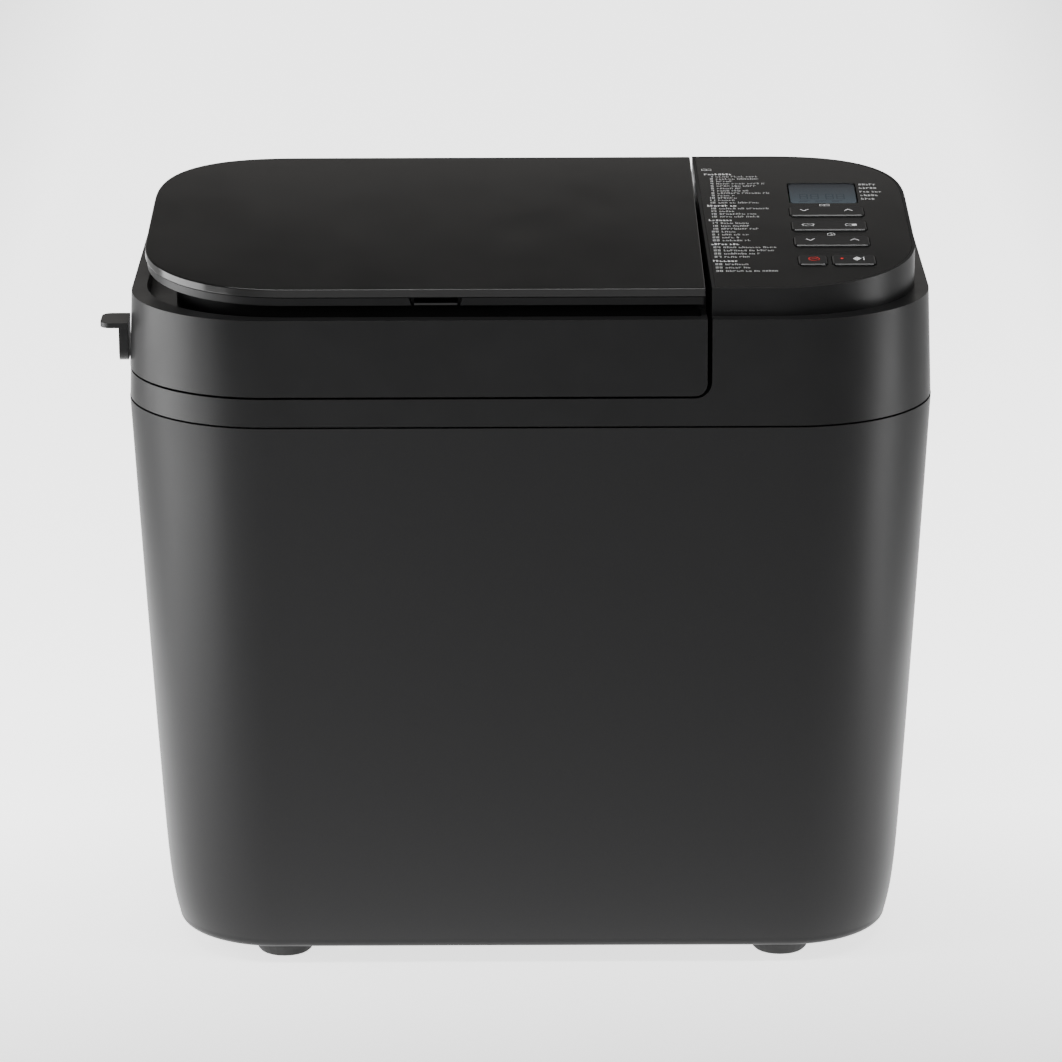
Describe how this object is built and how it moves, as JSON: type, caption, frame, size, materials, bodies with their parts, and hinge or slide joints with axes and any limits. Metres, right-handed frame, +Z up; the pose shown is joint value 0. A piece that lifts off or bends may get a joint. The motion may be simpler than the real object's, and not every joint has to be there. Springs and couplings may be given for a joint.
{
  "type": "bread machine",
  "caption": "Countertop bread machine with a tapered body, a hinged lid with a top flap over an ingredient dispenser, a sloping key panel and a belt-driven kneading pan.",
  "frame": {"origin": "on the table, at the centre of the whole machine's box seen from above, side handle included", "axes": "+Z up, front face towards -Y, +X to the right of a person who faces the machine"},
  "size_m": [0.407, 0.251, 0.3649],
  "materials": {
    "shell": "satin charcoal",
    "frame_black": "fine satin moulding",
    "top_gloss": "semi-gloss black",
    "panel": "semi-gloss black film",
    "key": "satin",
    "display": "clear window over a grey-blue display",
    "rubber": "matt",
    "steel": "satin",
    "aluminium": "satin sheet and castings",
    "nonstick": "matt non-stick coating",
    "heater": "heat-darkened",
    "board": "circuit board",
    "copper": "wound copper",
    "plain_plastic": "natural moulding"
  },
  "bodies": {
    "base": {"outer_shell": "shell", "base_plate": "plain_plastic", "upper_frame": "frame_black", "control_panel": "panel", "display_window": "display", "display_module": "display", "relay": "key", "foot_front_left": "rubber", "foot_front_right": "rubber", "foot_back_left": "rubber", "foot_back_right": "rubber", "drive_belt": "rubber", "cord_gland": "rubber", "base_screw_front_left": "steel", "base_screw_front_right": "steel", "base_screw_back_left": "steel", "base_screw_back_right": "steel", "lid_pin_left": "steel", "lid_pin_right": "steel", "temperature_sensor": "steel", "heater_clip_front": "steel", "heater_clip_back": "steel", "motor_case": "steel", "motor_bracket": "steel", "motor_capacitor": "steel", "dispenser_solenoid": "copper", "baking_chamber": "aluminium", "pan_mount": "aluminium", "bearing_housing": "aluminium", "heater_element": "heater", "control_board": "board", "power_board": "board"},
    "lid": {"lid_body": "frame_black", "lid_inner_cover": "aluminium", "lid_handle": "frame_black", "dispenser_hopper": "frame_black", "flap_pin_left": "steel", "flap_pin_right": "steel"},
    "flap": {"flap_plate": "top_gloss", "flap_base": "frame_black", "flap_catch": "frame_black"},
    "dispenser_door": {"dispenser_door": "plain_plastic"},
    "release_rod": {"release_rod": "steel"},
    "plunger": {"solenoid_plunger": "steel"},
    "pan": {"bread_pan": "nonstick", "pan_foot": "aluminium"},
    "pan_bail": {"pan_handle": "steel"},
    "blade": {"pan_shaft": "steel", "kneading_blade": "nonstick"},
    "drive": {"drive_shaft": "steel", "drive_pulley": "plain_plastic", "drive_coupling": "steel"},
    "rotor": {"motor_shaft": "steel", "motor_pulley": "plain_plastic"},
    "menu_key": {"menu_key": "key"},
    "size_key": {"size_key": "key"},
    "time_key": {"time_key": "key"},
    "stop_key": {"stop_key": "key"},
    "start_key": {"start_key": "key"}
  },
  "joints": [
    {"name": "lid_hinge", "type": "hinge", "parent": "base", "child": "lid", "pos_m": [0.00675, 0.113, 0.334], "axis": [-1, 0, 0], "range_deg": [0, 95]},
    {"name": "flap_hinge", "type": "hinge", "parent": "lid", "child": "flap", "pos_m": [0.00675, 0.0915, 0.35], "axis": [-1, 0, 0], "range_deg": [0, 85]},
    {"name": "door_hinge", "type": "hinge", "parent": "lid", "child": "dispenser_door", "pos_m": [-0.04525, 0.012, 0.301], "axis": [1, 0, 0], "range_deg": [0, 64], "stiffness_Nm_per_rad": 0.02, "springref_deg": -28.65},
    {"name": "rod_slide", "type": "slide", "parent": "lid", "child": "release_rod", "axis": [0, -1, 0], "range_m": [0, 0.0036]},
    {"name": "plunger_slide", "type": "slide", "parent": "base", "child": "plunger", "axis": [0, -1, 0], "range_m": [0, 0.0036]},
    {"name": "pan_lock", "type": "hinge", "parent": "base", "child": "pan", "pos_m": [-0.04525, 0, 0.06], "axis": [0, 0, 1], "range_deg": [0, 8]},
    {"name": "bail_hinge", "type": "hinge", "parent": "pan", "child": "pan_bail", "pos_m": [-0.04525, 0, 0.214], "axis": [-1, 0, 0], "range_deg": [0, 180]},
    {"name": "drive_spin", "type": "hinge", "parent": "base", "child": "drive", "pos_m": [-0.04525, 0, 0.022], "axis": [0, 0, 1], "continuous": true},
    {"name": "motor_spin", "type": "hinge", "parent": "base", "child": "rotor", "pos_m": [0.12875, 0, 0.022], "axis": [0, 0, 1], "continuous": true},
    {"name": "blade_spin", "type": "hinge", "parent": "pan", "child": "blade", "pos_m": [-0.04525, 0, 0.08], "axis": [0, 0, 1], "continuous": true},
    {"name": "menu_key_rock", "type": "hinge", "parent": "base", "child": "menu_key", "pos_m": [0.15455, 0.00204, 0.35435], "axis": [0, 0.9968, 0.0802], "range_deg": [-2.5, 2.5], "stiffness_Nm_per_rad": 0.05},
    {"name": "size_key_rock", "type": "hinge", "parent": "base", "child": "size_key", "pos_m": [0.15455, -0.02116, 0.35248], "axis": [0, 0.9968, 0.0802], "range_deg": [-2.5, 2.5], "stiffness_Nm_per_rad": 0.05},
    {"name": "time_key_rock", "type": "hinge", "parent": "base", "child": "time_key", "pos_m": [0.15455, -0.04576, 0.35051], "axis": [0, 0.9968, 0.0802], "range_deg": [-2.5, 2.5], "stiffness_Nm_per_rad": 0.05},
    {"name": "stop_key_press", "type": "slide", "parent": "base", "child": "stop_key", "axis": [0, 0.0802, -0.9968], "range_m": [0, 0.001], "stiffness_N_per_m": 400},
    {"name": "start_key_press", "type": "slide", "parent": "base", "child": "start_key", "axis": [0, 0.0802, -0.9968], "range_m": [0, 0.001], "stiffness_N_per_m": 400}
  ],
  "couplings": [
    {"joint": "rod_slide", "follows": "door_hinge", "m_per_rad": 0.003},
    {"joint": "plunger_slide", "follows": "door_hinge", "m_per_rad": 0.003},
    {"joint": "motor_spin", "follows": "drive_spin", "ratio": 6},
    {"joint": "blade_spin", "follows": "drive_spin", "ratio": 1}
  ]
}
